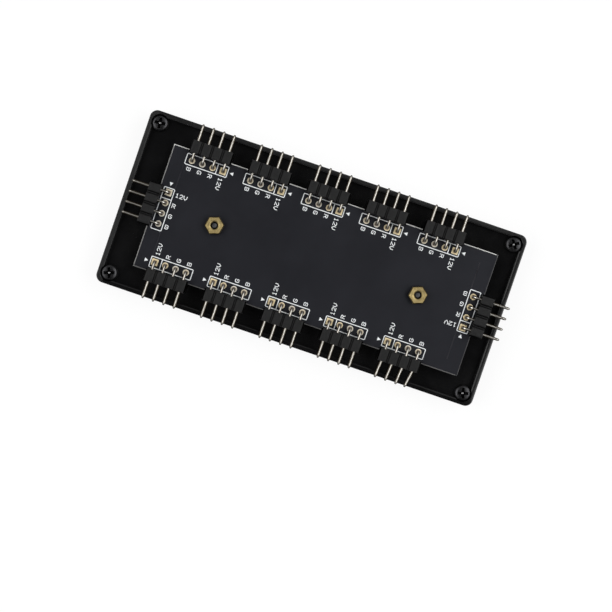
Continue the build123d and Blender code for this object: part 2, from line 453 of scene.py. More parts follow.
def mixed(tree, share, first, second):
    """Two colours mixed by a share."""
    return add(tree, "ShaderNodeMix", {"Factor": share, 6: first, 7: second}, data_type="RGBA").outputs[2]


def tones(tree, share, base, first, second):
    """One colour between two strengths, mixed by a share."""
    return mixed(tree, share, lighter(base, first), lighter(base, second))


def own_place(tree, stretch=(1.0, 1.0, 1.0)):
    """Place on the piece in its own axes, in millimetres, stretched for streaks."""
    coordinates = add(tree, "ShaderNodeTexCoord").outputs["Object"]
    scale = [PER_MM * factor for factor in stretch]
    return add(tree, "ShaderNodeVectorMath", {0: coordinates, 1: scale}, operation="MULTIPLY").outputs[0]


def parts(tree, vector):
    """A vector's three parts."""
    return add(tree, "ShaderNodeSeparateXYZ", {0: vector}).outputs


def reach_along(tree, vector, direction):
    """How far a vector reaches in a direction."""
    node = add(tree, "ShaderNodeVectorMath", {0: vector, 1: direction}, operation="DOT_PRODUCT")
    return node.outputs["Value"]


def from_axis(tree, place):
    """Distance from the piece's upright axis."""
    axes = parts(tree, place)
    flat = add(tree, "ShaderNodeCombineXYZ", {0: axes["X"], 1: axes["Y"]}).outputs[0]
    return add(tree, "ShaderNodeVectorMath", {0: flat}, operation="LENGTH").outputs["Value"]


def normal(tree):
    """Which way the surface faces."""
    return add(tree, "ShaderNodeNewGeometry").outputs["Normal"]


def levelness(tree):
    """1 where a surface lies flat, 0 where it stands upright."""
    return absolute(tree, parts(tree, normal(tree))["Z"])


def point_shade(tree, name):
    """Shade kept on the piece's own points."""
    return add(tree, "ShaderNodeAttribute", attribute_name=name).outputs["Fac"]


def noise(tree, place, scale, detail=3.0, roughness=0.55):
    """Cloudy values from 0 to 1, with scale counted per millimetre."""
    inputs = {"Vector": place, "Scale": scale, "Detail": detail, "Roughness": roughness}
    return add(tree, "ShaderNodeTexNoise", inputs).outputs["Fac"]


def specks(tree, place, scale, size):
    """Sparse round specks, 1 inside and 0 outside."""
    distance = add(tree, "ShaderNodeTexVoronoi", {"Vector": place, "Scale": scale}).outputs["Distance"]
    return spread(tree, distance, size, size * 0.5)


def raised(tree, height, millimetres):
    """Normal for a small relief of the given depth."""
    inputs = {"Height": height, "Distance": millimetres * MM}
    return add(tree, "ShaderNodeBump", inputs).outputs["Normal"]


def new_finish(name):
    """Empty material, its node tree and its surface shader."""
    material = bpy.data.materials.new(name)
    material.use_nodes = True
    return material, material.node_tree, material.node_tree.nodes["Principled BSDF"]


def rim_rubbing(tree, place, settings):
    """Roughness that handling adds to the tray's rim: most on the left, none on the front."""
    axes = parts(tree, place)
    rim = (TRAY_HIGH.z - settings.rim_below_boss) * PER_MM
    fade = settings.rim_fade * PER_MM
    front = (TRAY_LOW.y + settings.rim_band) * PER_MM
    back = (TRAY_HIGH.y - settings.rim_band) * PER_MM
    left = (TRAY_LOW.x + settings.rim_band) * PER_MM
    handled = total(tree, spread(tree, axes["Y"], front - fade, front, 0.0, settings.side_rub),
                    spread(tree, axes["Y"], back, back + fade, 0.0, settings.back_rub),
                    spread(tree, axes["X"], left, left - fade, 0.0, settings.left_rub))
    return product(tree, spread(tree, axes["Z"], *(rim - depth for depth in RUB_DEPTHS)), handled)


def glossy_case(settings):
    """Polished black moulding with faint handling haze, hairlines, dust and a rubbed rim."""
    material, tree, shader = new_finish("glossy_black_moulding")
    place = own_place(tree)
    haze = noise(tree, place, scale=0.12, detail=4.0, roughness=0.6)
    hairlines = noise(tree, own_place(tree, (0.15, 4.0, 1.0)), scale=1.6, detail=5.0, roughness=0.7)
    dust = product(tree, specks(tree, place, scale=0.9, size=0.055), spread(tree, haze, 0.45, 0.75))
    clean = tones(tree, spread(tree, haze, 0.35, 0.75), settings.case_black, 0.85, 1.3)
    relief = total(tree, noise(tree, place, scale=2.2, detail=2.0), product(tree, dust, 0.8))
    feed_all(tree, shader, {
        "Base Color": mixed(tree, dust, clean, lighter(settings.dust_grey)),
        "Roughness": total(tree, spread(tree, haze, 0.4, 0.8, 0.13, 0.24),
                           spread(tree, hairlines, 0.55, 0.8, 0.0, 0.08),
                           rim_rubbing(tree, place, settings), product(tree, dust, 0.4)),
        "Specular IOR Level": 0.40,
        "Normal": raised(tree, relief, millimetres=0.0035),
    })
    return material


def edge_band(edge, inward):
    """Places beside a board edge, in millimetres, between which its tone sets in."""
    return [edge * PER_MM + inward * distance for distance in EDGE_BAND]


def board_finish(settings):
    """Satin black mask above and below, pale laminate on the scored edges, duller where sawn upright, with
    painted shade on the right and front edges and a painted highlight on the back edge.
    """
    material, tree, shader = new_finish("board_mask_and_laminate")
    place = own_place(tree)
    axes = parts(tree, place)
    level = levelness(tree)
    below_mask = spread(tree, axes["Z"], *(BOARD_HIGH.z * PER_MM - depth for depth in MASK_LAP))
    bare = product(tree, spread(tree, level, 0.93, 0.80), below_mask)
    # Painted light on the laminate's edges: shade towards the right and front edges, a highlight along the
    # back edge
    right = spread(tree, axes["X"], *edge_band(BOARD_HIGH.x, -1), 1.0, 0.2)
    front = spread(tree, axes["Y"], *edge_band(BOARD_LOW.y, 1), 1.0, 0.6)
    back = spread(tree, axes["Y"], *edge_band(BOARD_HIGH.y, -1))
    cloud = noise(tree, place, scale=0.09, detail=4.0, roughness=0.6)
    grain = noise(tree, place, scale=7.0, detail=2.0)
    fibre = noise(tree, own_place(tree, (1.0, 1.0, 9.0)), scale=5.0, detail=4.0, roughness=0.7)
    strands = spread(tree, fibre, 0.3, 0.7)
    scored = tones(tree, strands, settings.laminate, 0.62, 1.2)
    # Painted highlight along the back edge
    scored = mixed(tree, back, scored, lighter(settings.laminate, 2.2))
    sawn = tones(tree, strands, settings.laminate, 0.15, 0.33)
    glass = mixed(tree, spread(tree, level, 0.15, 0.35), sawn, scored)
    # Painted shade towards the right and front edges, taking the laminate towards the mask's black
    glass = mixed(tree, product(tree, right, front), lighter(settings.mask_black, 1.5), glass)
    mask = tones(tree, spread(tree, cloud, 0.3, 0.75), settings.mask_black, 0.85, 1.2)
    relief = total(tree, product(tree, grain, 0.35), product(tree, bare, fibre))
    feed_all(tree, shader, {
        "Base Color": mixed(tree, bare, mask, glass),
        "Roughness": total(tree, spread(tree, cloud, 0.3, 0.8, 0.40, 0.48),
                           spread(tree, grain, 0.3, 0.7, -0.03, 0.03), product(tree, bare, 0.3)),
        "Specular IOR Level": 0.36,
        "Specular Tint": (0.90, 0.93, 1.0, 1.0),
        "Normal": raised(tree, relief, millimetres=0.02),
    })
    return material


def mask_over_copper(settings):
    """Solder mask where a track lifts it."""
    material, tree, shader = new_finish("mask_over_tracks")
    place = own_place(tree)
    cloud = noise(tree, place, scale=0.6, detail=3.0)
    feed_all(tree, shader, {
        "Base Color": tones(tree, cloud, settings.mask_black, 1.2, 2.0),
        "Roughness": spread(tree, cloud, 0.3, 0.7, 0.30, 0.42),
        "Normal": raised(tree, noise(tree, place, scale=6.0), millimetres=0.006),
    })
    return material


def header_moulding(settings):
    """Satin black moulding with a fine grain, made quite black by painted shade in the depth of its
    notches.
    """
    material, tree, shader = new_finish("header_moulding")
    place = own_place(tree)
    cloud = noise(tree, place, scale=0.8, detail=4.0, roughness=0.6)
    grain = noise(tree, place, scale=22.0, detail=2.0)
    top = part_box(HOUSING_PREFIX + HEADERS[0])[1].z * PER_MM
    # Painted shade: deep in the notches the moulding turns black, and full metal with a black colour takes
    # its reflection away as well
    deep = spread(tree, parts(tree, place)["Z"], *(top - depth for depth in NOTCH_DEPTHS))
    painted_notch_shade = product(tree, spread(tree, levelness(tree), 0.80, 0.72), deep)
    body = tones(tree, cloud, settings.header_black, 0.75, 1.35)
    feed_all(tree, shader, {
        "Base Color": mixed(tree, painted_notch_shade, body, lighter(settings.header_black, 0.0)),
        "Roughness": spread(tree, grain, 0.25, 0.75, 0.46, 0.60),
        "Metallic": painted_notch_shade,
        "Specular IOR Level": 0.33,
        "Normal": raised(tree, grain, millimetres=0.009),
    })
    return material


def pin_plating(settings):
    """Pale gold strip with painted shade on its sides and rounded edges and on its risers, bends and tips,
    its gleam spread across the wire.
    """
    material, tree, shader = new_finish("pin_plating")
    patches = noise(tree, own_place(tree), scale=0.9, detail=4.0, roughness=0.6)
    drawn = noise(tree, own_place(tree, (0.2, 1.0, 1.0)), scale=9.0)
    across = add(tree, "ShaderNodeVectorTransform", {0: (0.0, 1.0, 0.0)},
                 convert_from="OBJECT", convert_to="WORLD").outputs[0]
    # Painted shade: the pins' sides and the rounded edges of their top darken as soon as they tilt across
    # the wire
    side = spread(tree, absolute(tree, reach_along(tree, normal(tree), across)), 0.04, 0.26)
    worn = point_shade(tree, "worn")
    gold = tones(tree, spread(tree, patches, 0.35, 0.7), settings.pin_gold, 1.0, 0.82)
    plated = mixed(tree, side, gold, lighter(settings.pin_side_shade))
    feed_all(tree, shader, {
        # Painted shade on the risers, bends and tips, with less metal there as well
        "Base Color": mixed(tree, worn, plated, lighter(settings.pin_shade_and_wear)),
        "Metallic": spread(tree, worn, 0.2, 0.9, 1.0, 0.2),
        "Roughness": spread(tree, patches, 0.3, 0.75, 0.335, 0.405),
        "Specular IOR Level": 0.1,
        "Anisotropic": 0.75,
        "Tangent": across,
        "Normal": raised(tree, drawn, millimetres=0.004),
    })
    return material


def turned_brass(settings):
    """Brass with bright turned faces and their rings, and painted shade that darkens its slopes and sides.
    """
    material, tree, shader = new_finish("turned_brass")
    place = own_place(tree)
    rings = add(tree, "ShaderNodeTexNoise", {"W": from_axis(tree, place), "Scale": 14.0, "Detail": 3.0},
                noise_dimensions="1D").outputs["Fac"]
    tarnish = noise(tree, place, scale=0.8, detail=4.0, roughness=0.6)
    turned = tones(tree, spread(tree, tarnish, 0.35, 0.7), settings.brass, 1.15, 0.7)
    # Painted shade: slopes and sides of the nut take a much darker brass
    sloping = spread(tree, levelness(tree), 0.995, 0.88)
    feed_all(tree, shader, {
        "Base Color": mixed(tree, sloping, turned, lighter(settings.brass, 0.12)),
        "Metallic": 1.0,
        "Roughness": spread(tree, tarnish, 0.3, 0.75, 0.40, 0.50),
        "Normal": raised(tree, rings, millimetres=0.012),
    })
    return material


def fastener_metal(name, tone, rubbed, smoothest, roughest):
    """Screw metal with a fine uneven coat, painted shade in the recess and a painted glint of bright metal
    in its middle.
    """
    material, tree, shader = new_finish(name)
    place = own_place(tree)
    coat = noise(tree, place, scale=1.6, detail=4.0, roughness=0.65)
    coated = tones(tree, spread(tree, coat, 0.3, 0.7), tone, 0.75, 1.25)
    # Painted shade: the cross recess is darkened to a tenth of the coat's colour
    coated = mixed(tree, point_shade(tree, "recess"), coated, lighter(tone, 0.1))
    # Painted glint: a spot of bright metal in the middle of the recess
    bare = product(tree, spread(tree, from_axis(tree, place), 0.26, 0.14), spread(tree, coat, 0.3, 0.6))
    feed_all(tree, shader, {
        "Base Color": mixed(tree, bare, coated, lighter(rubbed)),
        "Metallic": 1.0,
        "Roughness": spread(tree, coat, 0.3, 0.7, smoothest, roughest),
        "Normal": raised(tree, noise(tree, place, scale=8.0), millimetres=0.008),
    })
    return material


def pad_plating(settings):
    """Plated ring that turns to brown flux close to the pin."""
    material, tree, shader = new_finish("pad_plating")
    near_pin = point_shade(tree, "near_pin")
    blotch = noise(tree, own_place(tree), scale=1.7, detail=4.0, roughness=0.6)
    flux = lighter(settings.flux_brown)
    metal = mixed(tree, point_shade(tree, "tinned"), lighter(settings.pad_gold), lighter(settings.pad_tin))
    ringed = mixed(tree, spread(tree, blotch, 0.3, 0.7, 0.0, 0.18), metal, flux)
    feed_all(tree, shader, {
        "Base Color": mixed(tree, near_pin, ringed, flux),
        "Metallic": spread(tree, near_pin, 0.2, 0.9, 0.2, 0.15),
        "Roughness": spread(tree, blotch, 0.3, 0.7, 0.36, 0.52),
        "Normal": raised(tree, blotch, millimetres=0.02),
    })
    return material


def soft_solder(settings):
    """Bright tin with a frosty patch here and there."""
    material, tree, shader = new_finish("soft_solder")
    frost = noise(tree, own_place(tree), scale=1.4, detail=4.0, roughness=0.6)
    feed_all(tree, shader, {
        "Base Color": tones(tree, frost, settings.tin, 1.1, 0.7),
        "Metallic": 1.0,
        "Roughness": spread(tree, frost, 0.3, 0.7, 0.18, 0.38),
        "Normal": raised(tree, frost, millimetres=0.01),
    })
    return material


def print_ink(settings):
    """Screen-printed ink, slightly thin in places."""
    material, tree, shader = new_finish("print_ink")
    thin = noise(tree, own_place(tree), scale=5.0, detail=4.0, roughness=0.65)
    feed_all(tree, shader, {
        "Base Color": tones(tree, spread(tree, thin, 0.55, 0.8), settings.print_white, 1.0, 0.62),
        "Roughness": spread(tree, thin, 0.3, 0.7, 0.45, 0.6),
        "Normal": raised(tree, thin, millimetres=0.005),
    })
    return material


def smooth_group():
    """Node group that shades every face and edge of a piece smoothly."""
    group = bpy.data.node_groups.get("shade_all_smooth")
    if group:
        return group
    group = bpy.data.node_groups.new("shade_all_smooth", "GeometryNodeTree")
    for direction in ("INPUT", "OUTPUT"):
        group.interface.new_socket("Geometry", in_out=direction, socket_type="NodeSocketGeometry")
    flow = add(group, "NodeGroupInput").outputs[0]
    for domain in ("FACE", "EDGE"):
        flow = add(group, "GeometryNodeSetShadeSmooth", {"Geometry": flow}, domain=domain).outputs[0]
    add(group, "NodeGroupOutput", {0: flow})
    return group


def soften(node, rounding, material, segments=2):
    """Give a solid its finish and round its sharp edges, with its own mesh left as it is."""
    node.material_slots[0].material = material
    weld = node.modifiers.new("join_faces", "WELD")
    weld.merge_threshold = WELD_GAP
    merge = node.modifiers.new("merge_flat_facets", "DECIMATE")
    merge.decimate_type = "DISSOLVE"
    merge.angle_limit = FACET_ANGLE
    edge = node.modifiers.new("round_edges", "BEVEL")
    edge.width = rounding
    edge.segments = segments
    edge.limit_method = "ANGLE"
    edge.angle_limit = EDGE_ANGLE
    edge.loop_slide = False
    smooth = node.modifiers.new("shade_smooth", "NODES")
    smooth.node_group = smooth_group()
    node.modifiers.new("even_normals", "WEIGHTED_NORMAL")


class HUB_OT_case(bpy.types.Operator):
    """Finish the tray and the cover"""

    bl_idname = "hub.case"
    bl_label = "Case"

    def execute(self, context):
        finish = context.scene.hub_finish
        black = glossy_case(finish)
        for node in ("case_tray", "bottom_cover"):
            soften(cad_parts[node], finish.case_rounding, black, segments=3)
        return {"FINISHED"}


class HUB_OT_board(bpy.types.Operator):
    """Finish the circuit board"""

    bl_idname = "hub.board"
    bl_label = "Circuit Board"

    def execute(self, context):
        finish = context.scene.hub_finish
        soften(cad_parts["circuit_board"], finish.board_rounding, board_finish(finish))
        return {"FINISHED"}


class HUB_OT_tracks(bpy.types.Operator):
    """Add the two tracks that show through the mask beside the end headers"""

    bl_idname = "hub.tracks"
    bl_label = "Tracks"

    track_width: length("Track width", "Width of a track", 0.3)
    track_height: length("Track height", "How far a track lifts the mask", 0.01)
    row_gap: length("Row gap", "From an end header's pin row to its track", 1.15)
    end_gap: length("End gap", "From the board's long edges to a track's ends", 3.2)

    def execute(self, context):
        material = mask_over_copper(context.scene.hub_finish)
        for header in ("left", "right"):
            mesh = bmesh.new()
            inward = header_matrix(header) @ Vector((-self.row_gap, 0.0, 0.0))
            ends = [Vector((inward.x, BOARD_LOW.y + self.end_gap)),
                    Vector((inward.x, BOARD_HIGH.y - self.end_gap))]
            ribbon(mesh, ends, self.track_width, BOARD_HIGH.z, BOARD_HIGH.z + self.track_height)
            make_piece("track_" + header, mesh, material)
        return {"FINISHED"}


class HUB_OT_print(bpy.types.Operator):
    """Print the boxes, arrows and pin labels"""

    bl_idname = "hub.print"
    bl_label = "Printed Marks"

    def execute(self, context):
        marks = context.scene.hub_print
        ink = print_ink(context.scene.hub_finish)
        for header in HEADERS:
            mesh = bmesh.new()
            self.box(mesh, marks)
            self.arrow(mesh, marks)
            for index, label in enumerate(PIN_LABELS):
                place = in_row(index, marks.label_step) + marks.label_shift
                self.label(mesh, marks, label, place)
            make_piece("print_" + header, mesh, ink, header_matrix(header))
        return {"FINISHED"}

    def box(self, mesh, marks):
        """Rounded box round the pads, with a line after the first pin."""
        low = Vector((-marks.box_inner, -marks.box_first))
        high = Vector((marks.box_outer, marks.box_last))
        outline = rounded_box(low, high, marks.corner, steps=3)
        ribbon(mesh, outline, marks.line, 0.0, marks.ink, closed=True)
        divider = [Vector((x, -marks.divider)) for x in (low.x + marks.line, high.x - marks.line)]
        ribbon(mesh, divider, marks.line, 0.0, marks.ink)

    def arrow(self, mesh, marks):
        """Solid triangle that points at the first pin's end of the box."""
        middle = (marks.box_outer - marks.box_inner) / 2
        tip = -marks.box_first - marks.arrow_gap
        base = tip - marks.arrow_length
        half = marks.arrow_width / 2
        corners = [(middle, tip), (middle - half, base), (middle + half, base)]
        rows = [[mesh.verts.new((x, y, height)) for x, y in corners] for height in (0.0, marks.ink)]
        skin(mesh, rows, capped=True)

    def label(self, mesh, marks, text, place):
        """Stroke letters that read inward from a pin."""
        across, high = STROKE_GRID
        for index, letter in enumerate(text):
            start = marks.label_gap + index * marks.letter_step
            for layer, stroke in enumerate(STROKES[letter]):
                points = []
                for column, row in stroke:
                    along = start + column / across * marks.letter_width
                    up = (row / high - 0.5) * marks.letter_height
                    points.append(Vector((-along, place - up)))
                # A second stroke is a hair thicker, so that crossing strokes share no surface
                ribbon(mesh, points, marks.stroke, 0.0, marks.ink * (1 + layer / 20))


class HUB_OT_pads(bpy.types.Operator):
    """Add the plated pads and the solder that climbs each pin"""

    bl_idname = "hub.pads"
    bl_label = "Plated Pads"

    def execute(self, context):
        solder = context.scene.hub_solder
        plating = pad_plating(context.scene.hub_finish)
        for header in HEADERS:
            mesh = bmesh.new()
            shades = [mesh.verts.layers.float.new(name) for name in ("near_pin", "tinned")]
            places, pin_half = pin_rows(header)
            for index, place in enumerate(places):
                tinned = END_TIN.get(header, ROW_TIN)[index]
                self.pad(mesh, shades, solder, place, pin_half, index == 0, tinned)
            make_piece("pads_" + header, mesh, plating, header_matrix(header))
        return {"FINISHED"}

    def pad(self, mesh, shades, solder, place, pin_half, square, tinned):
        """Flat plated ring, square for the first pin, with solder drawn up to the pin."""
        outline = square_place if square else round_place
        reach = (solder.square_pad if square else solder.pad_diameter) / 2
        top = solder.plating
        edge = solder.pad_edge
        foot = solder.meniscus_radius
        climb = solder.meniscus_height
        against_pin = pin_half * 1.02
        inside_pin = against_pin * 0.9
        # Outlines from the board up, in to the pin and down inside it, each with its share of flux
        steps = [
            (outline(reach, 0.0), 0.0),
            (outline(reach, top - edge), 0.0),
            (outline(reach - edge, top), 0.0),
            (round_place(foot * 1.1, top * 1.05), 0.15),
            (round_place(foot, top * 1.2), 0.45),
            (square_place((against_pin + foot) / 2.15, top + climb * 0.3), 0.85),
            (square_place(against_pin, top + climb), 1.0),
            (square_place(inside_pin, top), 1.0),
            (square_place(inside_pin, 0.0), 1.0),
        ]
        rows = []
        for step_outline, near_pin in steps:
            row = ring(mesh, solder.segments, beside(step_outline, place))
            for vertex in row:
                vertex[shades[0]] = near_pin
                vertex[shades[1]] = tinned
            rows.append(row)
        skin(mesh, rows, closed=True)


class HUB_OT_solder(bpy.types.Operator):
    """Add the soldered joints round the pins' tails under the board"""

    bl_idname = "hub.solder"
    bl_label = "Soldered Joints"

    def execute(self, context):
        solder = context.scene.hub_solder
        tin = soft_solder(context.scene.hub_finish)
        for header in HEADERS:
            mesh = bmesh.new()
            places, pin_half = pin_rows(header)
            for place in places:
                self.joint(mesh, solder, place, pin_half)
            matrix = header_matrix(header) @ Matrix.Translation((0.0, 0.0, BOARD_LOW.z - BOARD_HIGH.z))
            make_piece("solder_" + header, mesh, tin, matrix)
        return {"FINISHED"}

    def joint(self, mesh, solder, place, pin_half):
        """Hollow-sided cone of solder, drawn down a tail."""
        stages = 6
        hollow = 2.4
        against_pin = pin_half * 1.04
        outlines = []
        for stage in range(stages):
            share = stage / stages
            reach = against_pin + (solder.joint_radius - against_pin) * (1 - share) ** hollow
            outlines.append(round_place(reach, -solder.joint_height * share))
        outlines += [square_place(against_pin, -solder.joint_height), square_place(pin_half * 0.95, 0.0)]
        rows = [ring(mesh, solder.segments, beside(outline, place)) for outline in outlines]
        skin(mesh, rows, closed=True)


class HUB_OT_housings(bpy.types.Operator):
    """Finish the header housings"""

    bl_idname = "hub.housings"
    bl_label = "Header Housings"

    def execute(self, context):
        finish = context.scene.hub_finish
        moulding = header_moulding(finish)
        for header in HEADERS:
            soften(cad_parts[HOUSING_PREFIX + header], finish.housing_rounding, moulding)
        return {"FINISHED"}


def outward_reach(node, header):
    """How far a node's box reaches outward from its header's pin row."""
    low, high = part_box(node)
    into_header = header_matrix(header).inverted()
    return max((into_header @ low).x, (into_header @ high).x)


class HUB_OT_pins(bpy.types.Operator):
    """Draw the headers' pins with smooth bends, rounded edges and narrowed tips"""

    bl_idname = "hub.pins"
    bl_label = "Header Pins"

    def execute(self, context):
        pins = context.scene.hub_pins
        plating = pin_plating(context.scene.hub_finish)
        faces = {header: outward_reach(HOUSING_PREFIX + header, header) for header in HEADERS}
        exposed = max(outward_reach(PINS_PREFIX + header, header) - faces[header] for header in HEADERS)
        for header in HEADERS:
            low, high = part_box(PINS_PREFIX + header)
            places, half = pin_rows(header)
            heights = (low.z - BOARD_HIGH.z, high.z - half - BOARD_HIGH.z)
            stations = self.stations(pins, half, heights, faces[header], exposed)
            corner = Vector((half, half))
            section = rounded_box(-corner, corner, pins.rounding, steps=5)
            turns = pins.knocked_turns if header == KNOCKED_HEADER else [0.0] * len(places)
            mesh = bmesh.new()
            mesh.verts.layers.float.new("worn")
            for place, turn in zip(places, turns):
                self.pin(mesh, section, stations, faces[header], place, turn)
            piece = make_piece("pins_" + header, mesh, plating, header_matrix(header))
            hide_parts(PINS_PREFIX + header)
        return {"FINISHED"}

    def stations(self, pins, half, heights, face, exposed):
        """Places along a pin from tail to tip: outward, height, slope, width as a share and darkness, which
        is painted shade on the riser, bend and tip.
        """
        tail, axis = heights
        radius = pins.bend_radius + half
        end = face + exposed
        path = [(0.0, tail, 90.0, pins.tail_share, 1.0), (0.0, tail + pins.tail_bevel, 90.0, 1.0, 1.0),
                (0.0, -pins.dark_in_hole, 90.0, 1.0, 1.0)]
        bends = 12
        lit_slope = 30.0
        for step in range(bends + 1):
            slope = 90.0 * (1 - step / bends)
            angle = math.radians(slope)
            outward = radius * (1 - math.sin(angle))
            height = axis - radius * (1 - math.cos(angle))
            # Painted shade on the riser and the steep part of the bend
            worn = min(pins.bend_shade, max(0.0, slope / lit_slope - 1.0))
            path.append((outward, height, slope, 1.0, worn))
        path.append((face, axis, 0.0, 1.0, 0.0))
        path.append((end - pins.tip_length - pins.tip_shade_and_wear, axis, 0.0, 1.0, 0.0))
        tips = 6
        tip_power = 1.4
        least_tip_shade = 0.4
        most_tip_shade = 0.9
        # Painted shade on the narrowed tip, growing towards its end, which also stands for its bare cut
        # metal
        for step in range(tips + 1):
            share = step / tips
            outward = end - pins.tip_length * (1 - share) - pins.tip_bevel
            width = 1.0 - (1.0 - pins.tip_share) * share ** tip_power
            path.append((outward, axis, 0.0, width, least_tip_shade + (most_tip_shade - least_tip_shade) * share))
        path.append((end, axis, 0.0, pins.tip_share * pins.end_share, most_tip_shade))
        return path

    def pin(self, mesh, section, stations, face, place, turn):
        """One pin, bent sideways by a turn where it leaves its housing."""
        shade = mesh.verts.layers.float["worn"]
        to_row = Matrix.Translation((0.0, place, 0.0))
        to_face = Matrix.Translation((face, 0.0, 0.0))
        knocked = to_row @ to_face @ Matrix.Rotation(turn, 4, "Z") @ to_face.inverted()
        rows = []
        for outward, height, slope, width, worn in stations:
            sine = math.sin(math.radians(slope)) * width
            cosine = math.cos(math.radians(slope)) * width
            row = []
            for across, up in section:
                point = Vector((outward - up * sine, across * width, height + up * cosine))
                vertex = mesh.verts.new((knocked if outward > face else to_row) @ point)
                vertex[shade] = worn
                row.append(vertex)
            rows.append(row)
        skin(mesh, rows, capped=True)


def thread_radius(crest, fasteners, angle, height):
    """Radius of a screw thread at an angle and a height."""
    phase = (height / fasteners.thread_pitch - angle / (2 * math.pi)) % 1.0
    return crest - fasteners.thread_depth * abs(2 * phase - 1)


def in_recess(fasteners, place):
    """1 at the bottom of the cross recess, 0 outside it, between the two on its walls."""
    across = min(abs(place.x), abs(place.y))
    along = max(abs(place.x), abs(place.y))
    side = (fasteners.recess_width / 2 - across) / fasteners.recess_wall
    end = (fasteners.recess_span / 2 - along) / (2 * fasteners.recess_wall)
    return max(0.0, min(1.0, side, end))


def screw(mesh, fasteners, head_radius, head_height, shank_radius, shank_length):
    """Pan-head screw with a cross recess and a rolled thread, its shank down from zero."""
    shade = mesh.verts.layers.float.new("recess")
    segments = 96
    rings_per_thread = 8
    steps = round(shank_length / fasteners.thread_pitch * rings_per_thread)
    rows = []
    for step in range(steps + 1):
        height = shank_length * (step / steps - 1)
        widest = fasteners.tip_radius + height + shank_length

        def thread(angle):
            crest = thread_radius(shank_radius, fasteners, angle, height)
            return round_place(min(crest, widest), height)(angle)

        rows.append(ring(mesh, segments, thread))
    edge = fasteners.head_edge
    side = fasteners.head_side
    for radius, height in ((head_radius - edge, 0.0), (head_radius, edge), (head_radius, side)):
        rows.append(ring(mesh, segments, round_place(radius, height)))
    dome_rings = 44
    dome_power = 2.6
    for step in range(1, dome_rings):
        radius = head_radius * math.cos(step / dome_rings * math.pi / 2)
        swell = (1 - (radius / head_radius) ** dome_power) ** (1 / dome_power)
        height = side + (head_height - side) * swell
        cone = max(0.0, fasteners.recess_cone - radius / 2)

        def dome(angle):
            point = round_place(radius, height)(angle)
            point.z -= fasteners.recess_depth * in_recess(fasteners, point) + cone
            return point

        row = ring(mesh, segments, dome)
        for vertex in row:
            vertex[shade] = in_recess(fasteners, vertex.co)
        rows.append(row)
    skin(mesh, rows, capped=True)


class HUB_OT_corner_screws(bpy.types.Operator):
    """Put detailed pan-head screws in the tray's corners"""

    bl_idname = "hub.corner_screws"
    bl_label = "Corner Screws"

    head_diameter: length("Head diameter", "Across a corner screw's head", 3.9)
    thread_diameter: length("Thread diameter", "Across a corner screw's thread", 2.0)
    head_height: length("Head height", "Height of a corner screw's head", 1.3)

    def execute(self, context):
        fasteners = context.scene.hub_fasteners
        finish = context.scene.hub_finish
        black = fastener_metal("blackened_screw", finish.screw_black, finish.glint_steel,
                               smoothest=0.26, roughest=0.40)
        low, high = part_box("corner_screws")
        turns = {"front_left": 20.0, "front_right": 15.0, "back_left": 5.0, "back_right": 35.0}
        radius = self.head_diameter / 2
        seat = high.z - self.head_height
        for corner, turn in turns.items():
            x = low.x + radius if corner.endswith("left") else high.x - radius
            y = low.y + radius if corner.startswith("front") else high.y - radius
            mesh = bmesh.new()
            screw(mesh, fasteners, radius, self.head_height, self.thread_diameter / 2, seat - low.z)
            matrix = Matrix.Translation((x, y, seat)) @ Matrix.Rotation(math.radians(turn), 4, "Z")
            piece = make_piece("corner_screw_" + corner, mesh, black, matrix)
            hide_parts("corner_screws")
        return {"FINISHED"}


